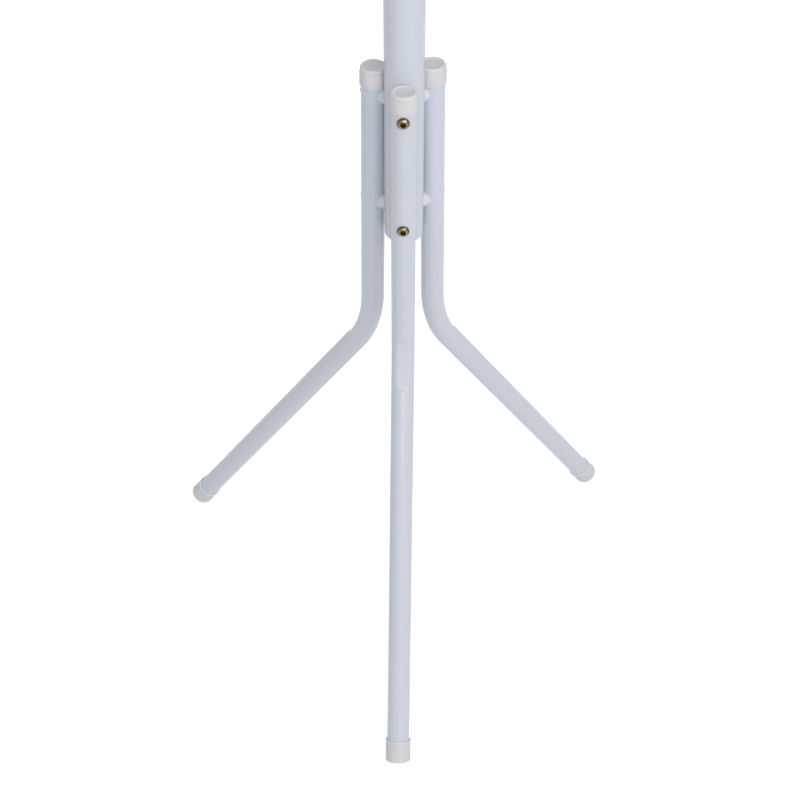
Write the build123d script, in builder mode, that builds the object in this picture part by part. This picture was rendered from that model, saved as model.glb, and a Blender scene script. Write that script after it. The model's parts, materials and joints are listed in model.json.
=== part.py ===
from build123d import *
from math import cos, radians, sin, tan
import os

# Free-standing rotary clothesline: a bolted tripod carries a two-piece mast whose upper tube turns,
# and four arms fold up beside it, umbrella fashion, while their runner slides down.
# Millimetres, +Z up, origin on the floor under the mast's axis.

# ---- tripod ----
leg_directions = {"front": -91.5, "right": 33.5, "left": 154.5}  # degrees about the mast
mast_radius = 16.0
mast_wall = 1.5
leg_radius = 10.0
leg_wall = 1.2
leg_gap = 1.65           # clear space between mast and leg, midway between the two bolts
leg_splay = 0.9          # degrees the upper leg leans away from the mast
leg_spread = 33.5        # degrees the lower leg stands out from straight down
leg_bend_radius = 110.0
lower_leg_length = 369.0  # from the corner of the bend to the end of the foot cap
lower_bolt_rise = 138.0  # these rises are measured up from the corner of the bend
bolt_pitch = 101.0
leg_top_rise = 258.2
mast_bottom_rise = 109.5
lower_mast_length = 400.0
straight_down = 180.0    # lean of a line that points down, degrees from straight up

# ---- plastic caps on the leg ends ----
cap_fit = 0.1            # radial play of anything pushed on or into a tube
top_cap_wall = 1.0
top_cap_over_spacer = 0.4  # space between the cap's mouth and the spacer below it
top_cap_crown = 3.0
top_cap_dish = 1.3
top_cap_edge = 0.9       # rounding of the cap's outer corner
top_cap_rim = 1.8        # width of the raised ring round the dish
top_cap_step = 0.35      # the cap is this much slimmer above a small ledge
top_cap_ledge = 3.0      # the ledge below the leg's end
foot_cap_wall = 1.2
foot_cap_skirt = 16.0
foot_cap_end = 3.5
foot_cap_edge = 0.9
foot_flat_depth = 2.0    # how much of the foot cap's rim is flat on the floor

# ---- fasteners ----
countersunk_legs = ["right", "left"]  # the front leg has button-head bolts
bolt_radius = 3.0
bolt_play = 0.25
bolt_head_radius = 5.05
bolt_head_height = 2.6
bolt_head_lip = 0.4      # straight edge under the head's dome
bolt_head_flat = 2.8     # radius of the flat on top, round the socket
bolt_head_bulge = 0.45   # how far the dome stands out from a straight cone
sunk_head_radius = 4.5
sunk_head_depth = 0.6    # below the outermost line of the leg
sunk_head_play = 0.1
bolt_socket_flats = 4.0
bolt_socket_depth = 1.8
seat_gap = 0.12          # under a head or washer that sits on a round tube
spacer_radius = 7.4
spacer_bore_radius = 4.7
spacer_rest = 0.05       # between the spacer's bore and the bolt that it hangs on
nut_body_radius = 4.5
nut_bulge_radius = 5.6
nut_bulge_length = 3.0
nut_inner_end = 6.0      # distance of a rivet nut's inner end from the mast's axis
nut_sink = 0.9           # its collar below the mast's outer face
nut_bulge_gap = 1.0      # its bulge from the mast's inner face
rivet_radius = 2.5
rivet_head_radius = 4.5
rivet_head_height = 1.8
rivet_head_taper = 30.0  # degrees
pin_play = 0.06          # running play of a pivot pin in its hole
side_play = 0.35         # beside a part that swings between two cheeks

# ---- turning joint in the mast ----
upper_mast_radius = 12.5
upper_mast_wall = 1.2
mast_insert = 115.0      # how deep the upper tube stands in the lower one
turn_play = 0.08
bush_length = 40.0
bush_flange_radius = 18.5
bush_flange_height = 7.0
pivot_plug_length = 25.0
pivot_plug_flange = 8.0
plug_lead = 1.5          # chamfer that leads a plug into its tube
bush_edge = 2.5          # chamfer on the bush's flange
end_plug_depth = 14.0
end_plug_floor = 2.5
stop_pin_radius = 3.0
stop_pin_edge = 1.2
thrust_play = 0.3        # between the pivot plug and the stop pin

# ---- folding head ----
arm_azimuths = [45.0, 135.0, 225.0, 315.0]
hub_reach = 34.0         # pivots of crown and runner, from the mast's axis
strut_reach = 300.0      # pivot to pivot, the same on stay and arm so the runner tracks the mast
open_angle = 68.0        # stay and arm from the vertical, arms out
closed_angle = 8.0       # and arms folded
arm_length = 600.0
arm_radius = 8.0
arm_wall = 1.0
stay_wall = 1.2
stay_depth = 14.0
stay_cut_back = 24.0     # web left out round each pivot
tongue_width = 10.0
ear_width = 4.0
ear_radius = 8.5
root_shoulder_start = 15.0
root_shoulder_length = 3.0
root_plug_length = 20.0
tongue_radius = 7.5
tip_length = 12.0
tip_radius = 9.0
tip_edge = 5.0           # straight side of the tip before its dome
tip_plug_length = 16.0
line_count = 5
line_from_tip = 18.0
line_from_stay = 48.0    # innermost line, clear of the folded stay
line_hole_radius = 2.0
clip_wall = 1.1
clip_width = 8.0
clip_eye_rise = 4.4      # centre of a line eye above the clip's ring
clip_eye_radius = 3.6
clip_eye_width = 5.0

# ---- crown and runner ----
crown_radius = 18.0
crown_below = 24.0
crown_above = 9.0
crown_cap_height = 10.0
crown_cap_edge = 2.5
crown_edge = 2.0
crown_taper = 2.5        # the crown narrows by this at its lower end
crown_taper_rise = 6.0
crown_roof = 4.0         # solid plastic above the tube's end
crown_rivet_rise = 5.0   # cross rivet above the crown's lower end
crown_lug_radius = 7.5
lug_root = 5.0           # how deep lugs and clevises start inside their hub
lug_foot_rise = 5.0      # foot of a lug's rib above the hub's lower end
runner_radius = 22.0
runner_below = 22.0
runner_above = 26.0
runner_lower_edge = 2.0
runner_upper_edge = 3.0
runner_play = 0.35
slot_end_play = 1.35     # past the tongue, at the back of its slot
park_gap = 8.0           # runner above the mast's bush when folded

# ---- cam lever that locks the runner ----
lever_azimuth = -90.0
lever_rise = 13.0        # lever pivot above the arms' pivots
lever_reach = 27.0
lever_width = 9.0
lever_length = 40.0
lever_thickness = 5.5
lever_lip = 6.0          # finger lip that stands out at the lever's free end
lever_lip_rise = 10.0
lever_end_rise = 8.0     # the free end is cut off at a slant
lever_end_edge = 1.5
cam_radius = 6.0
cheek_width = 3.5
cheek_radius = 6.0
lever_pin_radius = 2.0
shoe_height = 13.0
shoe_gap = 0.35

# ---- heights that follow from the sizes above ----
foot_cap_radius = leg_radius + cap_fit + foot_cap_wall
spacer_hang = spacer_bore_radius - bolt_radius - spacer_rest
top_cap_skirt = (leg_top_rise - lower_bolt_rise - bolt_pitch + spacer_hang - spacer_radius
                 - top_cap_over_spacer)
bend_height = (foot_cap_radius * sin(radians(leg_spread)) - foot_flat_depth
               + lower_leg_length * cos(radians(leg_spread)))
bolt_heights = [bend_height + lower_bolt_rise, bend_height + lower_bolt_rise + bolt_pitch]
leg_top = bend_height + leg_top_rise
mast_bottom = bend_height + mast_bottom_rise
lower_mast_top = mast_bottom + lower_mast_length
upper_mast_bottom = lower_mast_top - mast_insert
bush_top = lower_mast_top + bush_flange_height
crown_height = (bush_top + park_gap + runner_below
                + 2 * strut_reach * cos(radians(closed_angle)))
runner_height = crown_height - 2 * strut_reach * cos(radians(open_angle))
upper_mast_top = crown_height + crown_above - crown_roof
crown_rivet_height = crown_height - crown_below + crown_rivet_rise
stop_pin_height = upper_mast_bottom - pivot_plug_flange - thrust_play - stop_pin_radius
line_pitch = (arm_length - strut_reach - line_from_tip - line_from_stay) / (line_count - 1)
mast_bore = mast_radius - mast_wall
upper_mast_bore = upper_mast_radius - upper_mast_wall
arm_outer_half = arm_radius + side_play
stay_outer_half = arm_outer_half + stay_wall
lug_half = arm_radius
tongue_half = tongue_width / 2
slot_half = tongue_half + side_play
ear_half = slot_half + ear_width


def slope(azimuth, out=0.0, height=0.0, lean=0.0):
    """Vertical plane through the mast's axis, moved to a point of it. Its local y leans outwards
    from straight up by lean degrees; with no lean its local x points outwards."""
    a, t = radians(azimuth), radians(lean)
    return Plane(
        origin=(out * cos(a), out * sin(a), height),
        x_dir=(cos(a) * cos(t), sin(a) * cos(t), -sin(t)),
        z_dir=(sin(a), -cos(a), 0),
    )


def facing(azimuth, out, height):
    """Plane square to the outward direction, local y up."""
    a = radians(azimuth)
    return Plane(
        origin=(out * cos(a), out * sin(a), height),
        x_dir=(-sin(a), cos(a), 0),
        z_dir=(cos(a), sin(a), 0),
    )


def end_on(plane, distance):
    """Plane square to a slope plane's local y, at a distance along it."""
    return Plane(origin=plane.from_local_coords((0, distance)), x_dir=plane.x_dir, z_dir=plane.y_dir)


def spin(plane):
    """Revolve the pending profile about a slope plane's local y."""
    revolve(axis=Axis(plane.origin, plane.y_dir))


def save(part, name):
    part.label = name
    export_step(part, f"parts/{name}.step")


def leg_out(height):
    """Distance of a leg's axis from the mast's axis at a height above the bend."""
    middle = (bolt_heights[0] + bolt_heights[1]) / 2
    return mast_radius + leg_radius + leg_gap + (middle - height) * tan(radians(leg_splay))


def drill(plane, radius, depth):
    """Round hole through the part in hand, both ways from a plane."""
    with BuildSketch(plane) as hole:
        Circle(radius)
    extrude(hole.sketch, amount=depth, both=True, mode=Mode.SUBTRACT)


def bolt_places():
    return [(name, azimuth, height) for name, azimuth in leg_directions.items() for height in bolt_heights]


def sunk_head_plane(azimuth, height):
    """Slope plane in a countersunk head's outer face, local y along the bolt."""
    return slope(azimuth, leg_out(height) + leg_radius - sunk_head_depth, height, 90)


# ---------------------------------------------------------------- tripod
def make_leg(name, azimuth):
    """Bent tube: almost upright beside the mast, then out to the floor, drilled for its bolts."""
    tube_end = lower_leg_length - foot_cap_end
    corner = (leg_out(bend_height), bend_height)
    foot = (corner[0] + tube_end * sin(radians(leg_spread)),
            corner[1] - tube_end * cos(radians(leg_spread)))
    with BuildPart() as leg:
        with BuildLine(slope(azimuth)) as run:
            FilletPolyline((leg_out(leg_top), leg_top), corner, foot, radius=leg_bend_radius)
        with BuildSketch(Plane(origin=run.wire() @ 0, z_dir=run.wire() % 0)):
            Circle(leg_radius)
            Circle(leg_radius - leg_wall, mode=Mode.SUBTRACT)
        sweep(path=run.wire())
        for height in bolt_heights:
            drill(facing(azimuth, leg_out(height), height), bolt_radius + bolt_play, 2 * leg_radius)
            if name in countersunk_legs:
                side = sunk_head_plane(azimuth, height)
                cone = sunk_head_radius + sunk_head_play
                with BuildSketch(side):
                    Polygon((0, -cone), (0, sunk_head_depth), (-cone - sunk_head_depth, sunk_head_depth),
                            align=None)
                revolve(axis=Axis(side.origin, side.y_dir), mode=Mode.SUBTRACT)
    return leg.part


def make_top_cap(azimuth):
    """Skirt over the leg's upper end with a dished, rounded top, hollowed where it meets the mast."""
    seat = slope(azimuth, leg_out(leg_top), leg_top, -leg_splay)
    bore = leg_radius + cap_fit
    skirt = bore + top_cap_wall
    head = skirt - top_cap_step
    with BuildPart() as cap:
        with BuildSketch(seat):
            with BuildLine():
                Polyline((bore, -top_cap_skirt), (skirt, -top_cap_skirt), (skirt, -top_cap_ledge),
                         (head, top_cap_step - top_cap_ledge), (head, top_cap_crown - top_cap_edge))
                RadiusArc((head, top_cap_crown - top_cap_edge), (head - top_cap_edge, top_cap_crown),
                          -top_cap_edge)
                Line((head - top_cap_edge, top_cap_crown), (head - top_cap_rim, top_cap_crown))
                TangentArc((0, top_cap_crown - top_cap_dish), (head - top_cap_rim, top_cap_crown),
                           tangent=(1, 0))
                Polyline((0, top_cap_crown - top_cap_dish), (0, 0), (bore, 0), (bore, -top_cap_skirt))
            make_face()
        spin(seat)
        with BuildSketch(Plane.XY.offset(leg_top - top_cap_skirt - leg_radius)):
            Circle(mast_radius + seat_gap / 2)
        extrude(amount=top_cap_skirt + top_cap_crown + 2 * leg_radius, mode=Mode.SUBTRACT)
    return cap.part


def make_foot_cap(azimuth):
    """Cup over the leg's lower end, with a small flat where it stands on the floor."""
    end = slope(azimuth, leg_out(bend_height), bend_height, straight_down - leg_spread)
    bore = leg_radius + cap_fit
    tip = lower_leg_length
    mouth = tip - foot_cap_end - foot_cap_skirt
    with BuildPart() as cap:
        with BuildSketch(end):
            with BuildLine():
                Polyline((0, tip), (0, tip - foot_cap_end), (bore, tip - foot_cap_end), (bore, mouth),
                         (foot_cap_radius, mouth), (foot_cap_radius, tip - foot_cap_edge))
                RadiusArc((foot_cap_radius, tip - foot_cap_edge), (foot_cap_radius - foot_cap_edge, tip),
                          -foot_cap_edge)
                Line((foot_cap_radius - foot_cap_edge, tip), (0, tip))
            make_face()
        spin(end)
        split(bisect_by=Plane.XY, keep=Keep.TOP)
    return cap.part


def make_spacers():
    """Round saddle washers that hold each leg off the mast, each hanging on its bolt."""
    with BuildPart() as spacers:
        for _, azimuth, height in bolt_places():
            with BuildSketch(facing(azimuth, 0, height - spacer_hang)):
                Circle(spacer_radius)
                Circle(spacer_bore_radius, mode=Mode.SUBTRACT)
            extrude(amount=leg_out(height))
        with BuildSketch(Plane.XY.offset(mast_bottom)):
            Circle(mast_radius + seat_gap / 2)
        extrude(amount=lower_mast_length, mode=Mode.SUBTRACT)
        for azimuth in leg_directions.values():
            shaft = slope(azimuth, leg_out(leg_top), leg_top, -leg_splay)
            with BuildSketch(end_on(shaft, -leg_top_rise)):
                Circle(leg_radius + seat_gap / 2)
            extrude(amount=leg_top_rise, mode=Mode.SUBTRACT)
    return spacers.part


def make_bolts():
    """Bolts through the legs: button heads on the front leg, countersunk heads on the other two."""
    with BuildPart() as bolts:
        for name, azimuth, height in bolt_places():
            if name in countersunk_legs:
                seat = leg_out(height) + leg_radius - sunk_head_depth
                top = seat
                side = sunk_head_plane(azimuth, height)
                with BuildSketch(side):
                    Polygon((0, 0), (-sunk_head_radius, 0), (-bolt_radius, bolt_radius - sunk_head_radius),
                            (0, bolt_radius - sunk_head_radius), align=None)
            else:
                seat = leg_out(height) + leg_radius + seat_gap
                top = seat + bolt_head_height
                side = slope(azimuth, seat, height, 90)
                with BuildSketch(side):
                    with BuildLine():
                        Polyline((0, bolt_head_height), (0, 0), (-bolt_head_radius, 0),
                                 (-bolt_head_radius, bolt_head_lip))
                        SagittaArc((-bolt_head_radius, bolt_head_lip), (-bolt_head_flat, bolt_head_height),
                                   -bolt_head_bulge)
                        Line((-bolt_head_flat, bolt_head_height), (0, bolt_head_height))
                    make_face()
            spin(side)
            with BuildSketch(facing(azimuth, nut_inner_end, height)):
                Circle(bolt_radius)
            extrude(amount=seat - nut_inner_end)
            with BuildSketch(facing(azimuth, top, height)):
                RegularPolygon(bolt_socket_flats / 2, 6, major_radius=False)
            extrude(amount=-bolt_socket_depth, mode=Mode.SUBTRACT)
    return bolts.part


def make_rivet_nuts():
    """Threaded inserts set in the mast's wall, bulged behind it."""
    with BuildPart() as nuts:
        for _, azimuth, height in bolt_places():
            side = slope(azimuth, nut_inner_end, height, 90)
            wall_in = mast_bore - nut_inner_end - nut_bulge_gap
            wall_out = mast_radius - nut_inner_end - nut_sink
            bore = bolt_radius + cap_fit / 2
            with BuildSketch(side):
                Polygon((-bore, 0), (-nut_body_radius, 0), (-nut_body_radius, wall_in - nut_bulge_length),
                        (-nut_bulge_radius, wall_in - nut_bulge_length / 2), (-nut_body_radius, wall_in),
                        (-nut_body_radius, wall_out), (-bore, wall_out), align=None)
            spin(side)
    return nuts.part


def make_lower_mast():
    """Tube that carries the legs, open at the top for the turning upper mast."""
    with BuildPart() as mast:
        with BuildSketch(Plane.XY.offset(mast_bottom)):
            Circle(mast_radius)
            Circle(mast_bore, mode=Mode.SUBTRACT)
        extrude(amount=lower_mast_length)
        for _, azimuth, height in bolt_places():
            with BuildSketch(facing(azimuth, nut_inner_end, height)):
                Circle(nut_body_radius + cap_fit)
            extrude(amount=mast_radius, mode=Mode.SUBTRACT)
        drill(facing(0, 0, stop_pin_height), stop_pin_radius + cap_fit, 2 * mast_radius)
    return mast.part


def make_end_plug():
    """Plug in the mast's open lower end."""
    with BuildPart() as plug:
        with BuildSketch(Plane.XY.offset(mast_bottom)):
            Circle(mast_bore - cap_fit)
        extrude(amount=end_plug_depth)
        with BuildSketch(Plane.XY.offset(mast_bottom + end_plug_depth)):
            Circle(mast_bore - cap_fit - mast_wall)
        extrude(amount=end_plug_floor - end_plug_depth, mode=Mode.SUBTRACT)
    return plug.part


def make_bush():
    """Flanged sleeve in the mast's top, in which the upper mast turns."""
    bore = upper_mast_radius + turn_play
    with BuildPart() as bush:
        with BuildSketch(Plane.XZ):
            Polygon((bore, lower_mast_top - bush_length), (mast_bore - cap_fit, lower_mast_top - bush_length),
                    (mast_bore - cap_fit, lower_mast_top), (bush_flange_radius, lower_mast_top),
                    (bush_flange_radius, bush_top - bush_edge), (bush_flange_radius - bush_edge, bush_top),
                    (bore, bush_top), align=None)
        revolve(axis=Axis.Z)
    return bush.part


def make_stop_pin():
    """Headed pin across the lower mast, on which the upper mast's plug stands and turns."""
    with BuildPart() as pin:
        with BuildSketch(facing(0, 0, stop_pin_height)):
            Circle(stop_pin_radius)
        extrude(amount=mast_radius + seat_gap, both=True)
        for side in (0, 180):
            with BuildSketch(facing(side, mast_radius + seat_gap, stop_pin_height)):
                Circle(rivet_head_radius)
            extrude(amount=rivet_head_height)
        ends = pin.faces().sort_by(Axis.X)
        fillet(ends[-1].edges() + ends[0].edges(), stop_pin_edge)
    return pin.part


# ---------------------------------------------------------------- turning mast and crown
def make_upper_mast():
    """Thinner tube that turns in the lower one and carries the crown."""
    with BuildPart() as mast:
        with BuildSketch(Plane.XY.offset(upper_mast_bottom)):
            Circle(upper_mast_radius)
            Circle(upper_mast_bore, mode=Mode.SUBTRACT)
        extrude(amount=upper_mast_top - upper_mast_bottom)
        drill(facing(0, 0, crown_rivet_height), rivet_radius + cap_fit, 2 * mast_radius)
    return mast.part


def make_pivot_plug():
    """Plastic foot of the upper mast: its collar runs in the lower mast."""
    with BuildPart() as plug:
        with BuildSketch(Plane.XY.offset(upper_mast_bottom - pivot_plug_flange)):
            Circle(mast_bore - turn_play)
        extrude(amount=pivot_plug_flange)
        with BuildSketch(Plane.XY.offset(upper_mast_bottom)):
            Circle(upper_mast_bore - cap_fit)
        extrude(amount=pivot_plug_length)
        chamfer(plug.edges().filter_by(GeomType.CIRCLE).sort_by(Axis.Z)[-1], plug_lead)
    return plug.part


def make_crown():
    """Moulded head on the upper mast with one lug for each stay."""
    bottom, top = crown_height - crown_below, crown_height + crown_above
    with BuildPart() as crown:
        with BuildSketch(Plane.XZ):
            Polygon((0, top), (crown_radius - crown_edge, top), (crown_radius, top - crown_edge),
                    (crown_radius, bottom + crown_taper_rise), (crown_radius - crown_taper, bottom),
                    (0, bottom), align=None)
        revolve(axis=Axis.Z)
        for azimuth in arm_azimuths:
            with BuildSketch(slope(azimuth, 0, crown_height)):
                with Locations((hub_reach, 0)):
                    Circle(crown_lug_radius)
                Polygon((crown_radius - lug_root, crown_lug_radius), (hub_reach, crown_lug_radius),
                        (hub_reach, -crown_lug_radius),
                        (crown_radius - lug_root, lug_foot_rise - crown_below), align=None)
            extrude(amount=lug_half, both=True)
            drill(slope(azimuth, hub_reach, crown_height), rivet_radius + cap_fit / 2, 2 * lug_half)
        with BuildSketch(Plane.XY.offset(upper_mast_top)):
            Circle(upper_mast_radius + cap_fit)
        extrude(amount=-crown_below - upper_mast_radius, mode=Mode.SUBTRACT)
        drill(facing(0, 0, crown_rivet_height), rivet_radius + cap_fit, 2 * crown_radius)
    return crown.part


def make_crown_cap():
    """Domed cover on the crown."""
    base = crown_height + crown_above
    with BuildPart() as cap:
        with BuildSketch(Plane.XZ):
            with BuildLine():
                Polyline((0, base + crown_cap_height), (0, base), (crown_radius, base),
                         (crown_radius, base + crown_cap_edge))
                TangentArc((0, base + crown_cap_height), (crown_radius, base + crown_cap_edge),
                           tangent=(1, 0))
            make_face()
        revolve(axis=Axis.Z)
    return cap.part


def rivet(plane, half):
    """Rivet along a plane's normal: shank out to half each way, with a low domed head at each end."""
    with BuildSketch(plane) as shank:
        Circle(rivet_radius)
    extrude(shank.sketch, amount=half, both=True)
    for way in (1, -1):
        with BuildSketch(plane.offset(way * half)) as head:
            Circle(rivet_head_radius)
        extrude(head.sketch, amount=way * rivet_head_height, taper=rivet_head_taper)


def make_crown_rivet():
    """Rivet that holds the crown on the tube."""
    with BuildPart() as cross:
        rivet(facing(0, 0, crown_rivet_height), crown_radius + seat_gap)
    return cross.part


def make_crown_pins():
    """Pivot rivets of the stays in the crown's lugs."""
    with BuildPart() as pins:
        for azimuth in arm_azimuths:
            rivet(slope(azimuth, hub_reach, crown_height), stay_outer_half + side_play)
    return pins.part


# ---------------------------------------------------------------- folding arms
def make_stay(azimuth):
    """Pressed channel: its cheeks straddle the crown's lug and the arm, and the arm nests in it folded."""
    lie = slope(azimuth, hub_reach, crown_height, straight_down - open_angle)
    web_face = stay_depth / 2 - stay_wall
    with BuildPart() as stay:
        with BuildSketch(lie):
            with Locations((0, strut_reach / 2)):
                SlotCenterToCenter(strut_reach, stay_depth, rotation=90)
        extrude(amount=stay_outer_half, both=True)
        with BuildSketch(lie):
            with Locations((0, strut_reach / 2)):
                Rectangle(2 * stay_depth, strut_reach - 2 * stay_cut_back)
                Rectangle(2 * stay_depth, strut_reach + 2 * stay_depth)
            with Locations((web_face + stay_depth / 2, strut_reach / 2)):
                Rectangle(stay_depth, strut_reach - 2 * stay_cut_back, mode=Mode.SUBTRACT)
        extrude(amount=arm_outer_half, both=True, mode=Mode.SUBTRACT)
        for distance in (0, strut_reach):
            centre = lie.from_local_coords((0, distance))
            drill(Plane(origin=centre, z_dir=lie.z_dir), rivet_radius + pin_play, 2 * stay_outer_half)
    return stay.part


def make_arm(azimuth):
    """Straight tube of one arm, cross-drilled for its stay."""
    lie = slope(azimuth, hub_reach, runner_height, open_angle)
    start = root_shoulder_start + root_shoulder_length
    with BuildPart() as arm:
        with BuildSketch(end_on(lie, start)):
            Circle(arm_radius)
            Circle(arm_radius - arm_wall, mode=Mode.SUBTRACT)
        extrude(amount=arm_length - start)
        centre = lie.from_local_coords((0, strut_reach))
        drill(Plane(origin=centre, z_dir=lie.z_dir), rivet_radius + cap_fit / 2, 2 * arm_radius)
    return arm.part


def make_arm_root(azimuth):
    """Moulded end of an arm: a tongue for the runner's clevis and a plug in the tube."""
    lie = slope(azimuth, hub_reach, runner_height, open_angle)
    start = root_shoulder_start + root_shoulder_length
    with BuildPart() as root:
        with BuildSketch(lie):
            Circle(tongue_radius)
            with Locations((0, root_shoulder_start / 2)):
                Rectangle(2 * tongue_radius, root_shoulder_start)
        extrude(amount=tongue_half, both=True)
        with BuildSketch(end_on(lie, root_shoulder_start)):
            Circle(arm_radius)
        extrude(amount=root_shoulder_length)
        with BuildSketch(end_on(lie, start)):
            Circle(arm_radius - arm_wall - cap_fit)
        extrude(amount=root_plug_length)
        drill(lie, rivet_radius + pin_play, 2 * tongue_half)
    return root.part


def make_arm_tip(azimuth):
    """Rounded plastic end of an arm with its plug in the tube."""
    lie = slope(azimuth, hub_reach, runner_height, open_angle)
    with BuildPart() as tip:
        with BuildSketch(lie):
            with BuildLine():
                Polyline((0, arm_length + tip_length), (0, arm_length - tip_plug_length),
                         (arm_radius - arm_wall - cap_fit, arm_length - tip_plug_length),
                         (arm_radius - arm_wall - cap_fit, arm_length), (tip_radius, arm_length),
                         (tip_radius, arm_length + tip_edge))
                TangentArc((0, arm_length + tip_length), (tip_radius, arm_length + tip_edge), tangent=(1, 0))
            make_face()
        spin(lie)
    return tip.part


def make_line_clips(azimuth):
    """Clips round an arm, each with an eye on top for one turn of the line."""
    lie = slope(azimuth, hub_reach, runner_height, open_angle)
    outside = arm_radius + cap_fit + clip_wall
    with BuildPart() as clips:
        for index in range(line_count):
            place = arm_length - line_from_tip - index * line_pitch
            eye = (-(outside + clip_eye_rise), place)
            with BuildSketch(end_on(lie, place - clip_width / 2)):
                Circle(outside)
                Circle(arm_radius + cap_fit, mode=Mode.SUBTRACT)
            extrude(amount=clip_width)
            with BuildSketch(lie):
                with Locations(eye):
                    Circle(clip_eye_radius)
                with Locations((eye[0] / 2 - arm_radius / 2 - cap_fit, place)):
                    Rectangle(clip_eye_rise + clip_wall, 2 * clip_eye_radius)
                with Locations(eye):
                    Circle(line_hole_radius, mode=Mode.SUBTRACT)
            extrude(amount=clip_eye_width / 2, both=True)
    return clips.part


def make_arm_rivet(azimuth):
    """Pivot rivet through an arm and its stay's cheeks."""
    lie = slope(azimuth, hub_reach, runner_height, open_angle)
    with BuildPart() as pin:
        rivet(Plane(origin=lie.from_local_coords((0, strut_reach)), x_dir=lie.x_dir, z_dir=lie.z_dir),
              stay_outer_half + side_play)
    return pin.part


# ---------------------------------------------------------------- runner and its lock
def make_runner():
    """Moulded slider with a clevis for each arm and a cheeked pocket for the cam lever."""
    bottom, top = runner_height - runner_below, runner_height + runner_above
    pivot = runner_height + lever_rise
    with BuildPart() as runner:
        with BuildSketch(Plane.XZ):
            Polygon((0, bottom), (runner_radius - runner_lower_edge, bottom),
                    (runner_radius, bottom + runner_lower_edge), (runner_radius, top - runner_upper_edge),
                    (runner_radius - runner_upper_edge, top), (0, top), align=None)
        revolve(axis=Axis.Z)
        for azimuth in arm_azimuths:
            with BuildSketch(slope(azimuth, 0, runner_height)):
                with Locations((hub_reach, 0)):
                    Circle(ear_radius)
                Polygon((runner_radius - lug_root, ear_radius), (hub_reach, ear_radius),
                        (hub_reach, -ear_radius), (runner_radius - lug_root, lug_foot_rise - runner_below),
                        align=None)
            extrude(amount=ear_half, both=True)
            with BuildSketch(slope(azimuth, 0, runner_height)):
                with Locations((hub_reach, 0)):
                    Rectangle(2 * (tongue_radius + slot_end_play), 2 * runner_below)
            extrude(amount=slot_half, both=True, mode=Mode.SUBTRACT)
            drill(slope(azimuth, hub_reach, runner_height), rivet_radius + cap_fit / 2, 2 * ear_half)
        with BuildSketch(slope(lever_azimuth, 0, pivot)):
            with Locations((lever_reach, 0)):
                Circle(cheek_radius)
            with Locations((lever_reach / 2, 0)):
                Rectangle(lever_reach, 2 * cheek_radius)
        extrude(amount=lever_width / 2 + side_play + cheek_width, both=True)
        with BuildSketch(slope(lever_azimuth, 0, pivot)):
            Rectangle(lever_reach + 2 * cheek_radius, shoe_height + 2 * cap_fit,
                      align=(Align.MIN, Align.CENTER))
        extrude(amount=lever_width / 2 + side_play, both=True, mode=Mode.SUBTRACT)
        drill(slope(lever_azimuth, lever_reach, pivot), lever_pin_radius + cap_fit / 2, lever_width)
        with BuildSketch(Plane.XY.offset(bottom)):
            Circle(upper_mast_radius + runner_play)
        extrude(amount=top - bottom, mode=Mode.SUBTRACT)
    return runner.part


def make_runner_pins():
    """Pivot rivets of the arms in the runner's clevises."""
    with BuildPart() as pins:
        for azimuth in arm_azimuths:
            rivet(slope(azimuth, hub_reach, runner_height), ear_half + cap_fit)
    return pins.part


def make_lock_shoe():
    """Pad between cam and mast, hollowed to the tube."""
    height = runner_height + lever_rise
    outer = lever_reach - cam_radius - shoe_gap
    with BuildPart() as shoe:
        with BuildSketch(facing(lever_azimuth, 0, height)):
            Rectangle(lever_width + side_play, shoe_height)
        extrude(amount=outer)
        with BuildSketch(Plane.XY.offset(height - shoe_height)):
            Circle(upper_mast_radius + runner_play)
        extrude(amount=2 * shoe_height, mode=Mode.SUBTRACT)
    return shoe.part


def make_lock_pin():
    """Pin on which the cam lever turns."""
    with BuildPart() as pin:
        with BuildSketch(slope(lever_azimuth, lever_reach, runner_height + lever_rise)):
            Circle(lever_pin_radius)
        extrude(amount=lever_width / 2 + side_play + cheek_width, both=True)
    return pin.part


def make_lock_lever():
    """Cam lever: it hangs down locked and lifts outwards to free the runner."""
    lie = slope(lever_azimuth, lever_reach, runner_height + lever_rise)
    with BuildPart() as lever:
        with BuildSketch(lie):
            Circle(cam_radius)
            with BuildLine():
                Polyline((cam_radius - lever_thickness, 0),
                         (cam_radius - lever_thickness, lever_end_rise - lever_length),
                         (cam_radius, -lever_length), (cam_radius + lever_lip, -lever_length),
                         (cam_radius, lever_lip_rise - lever_length), (cam_radius, 0), close=True)
            make_face()
        extrude(amount=lever_width / 2, both=True)
        across = lever.edges().filter_by(GeomType.LINE).filter_by(Axis(lie.origin, lie.z_dir))
        fillet(across.group_by(Axis.Z)[0], lever_end_edge)
        drill(lie, lever_pin_radius + pin_play, lever_width)
    return lever.part


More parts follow.
